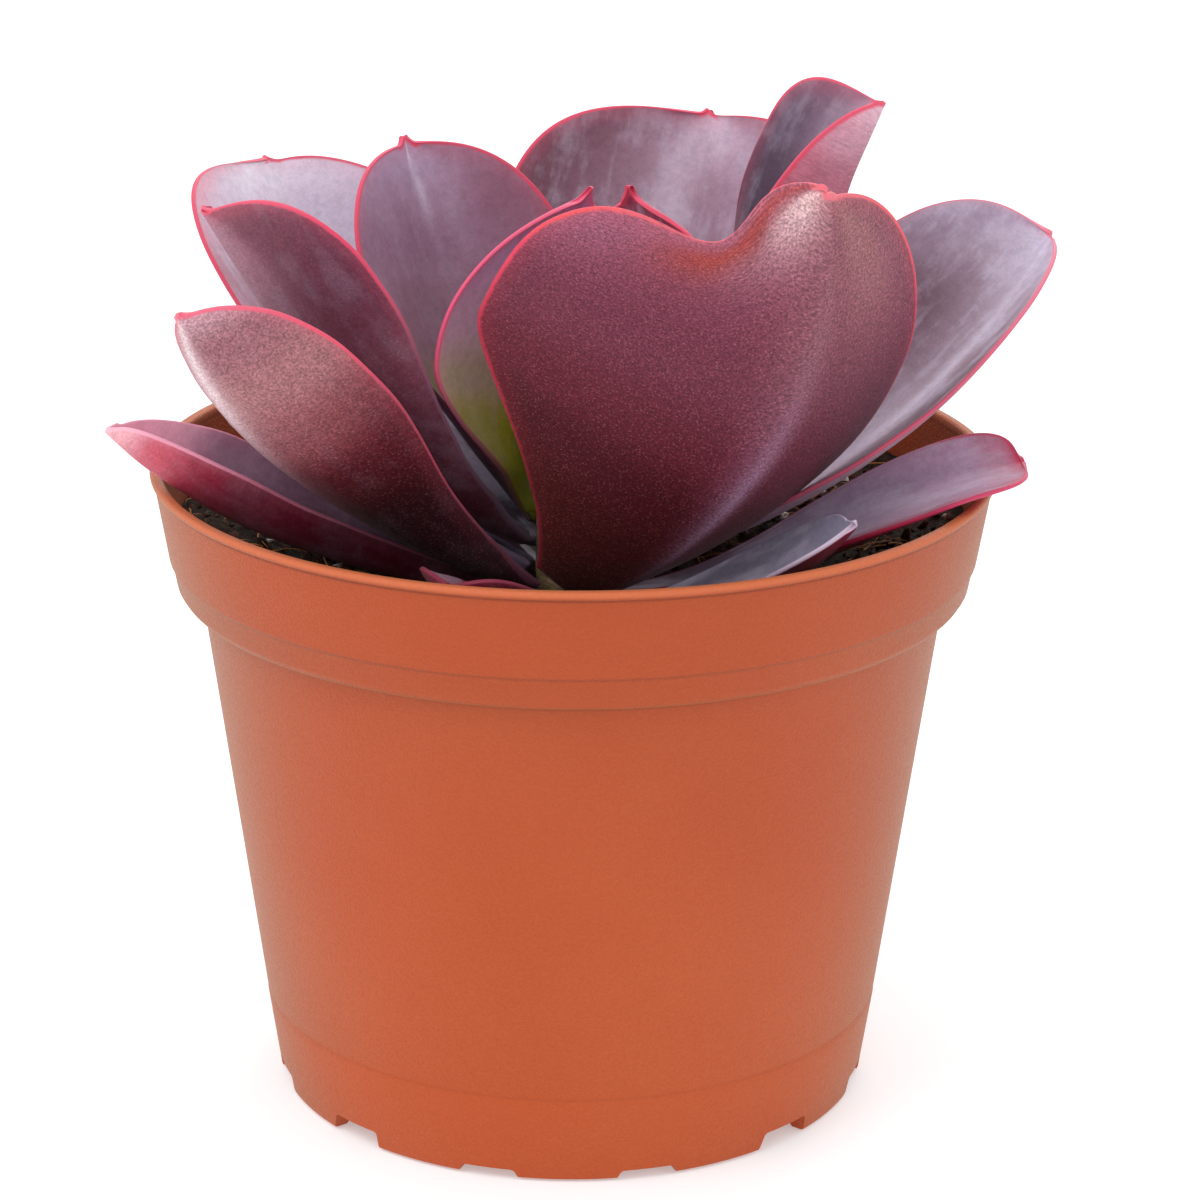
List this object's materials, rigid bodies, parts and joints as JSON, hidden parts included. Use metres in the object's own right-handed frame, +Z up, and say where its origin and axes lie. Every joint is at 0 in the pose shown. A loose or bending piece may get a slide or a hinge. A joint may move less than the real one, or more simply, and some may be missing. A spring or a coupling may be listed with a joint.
{
  "type": "potted succulent",
  "caption": "Rosette succulent with broad folded purple leaves on a short stem, rooted in potting mix in a tapered plastic pot with a deep collar and a notched foot.",
  "frame": {"origin": "centre of the pot's foot, on the plane it stands on", "axes": "+Z up along the pot's axis, -Y towards the viewer of the picture, +X to their right"},
  "size_m": [0.133, 0.12, 0.1479],
  "materials": {
    "terracotta_plastic": "satin",
    "potting_mix": "matte",
    "stem": "matte",
    "leaf": "matte"
  },
  "bodies": {
    "root": {"pot": "terracotta_plastic", "potting_mix": "potting_mix", "stem": "stem", "leaf_left_low": "leaf", "leaf_left_sliver": "leaf", "leaf_right_small": "leaf", "leaf_front_small": "leaf", "leaf_right_low": "leaf", "leaf_left_fold": "leaf", "leaf_front": "leaf", "leaf_right": "leaf", "leaf_left_upper": "leaf", "leaf_left_back": "leaf", "leaf_back_left": "leaf", "leaf_back": "leaf", "leaf_back_right": "leaf", "leaf_inner_left": "leaf", "leaf_inner_back": "leaf", "leaf_rear_low": "leaf", "leaf_rear_right": "leaf", "leaf_rear_left": "leaf", "leaf_inner_right": "leaf"}
  },
  "joints": []
}
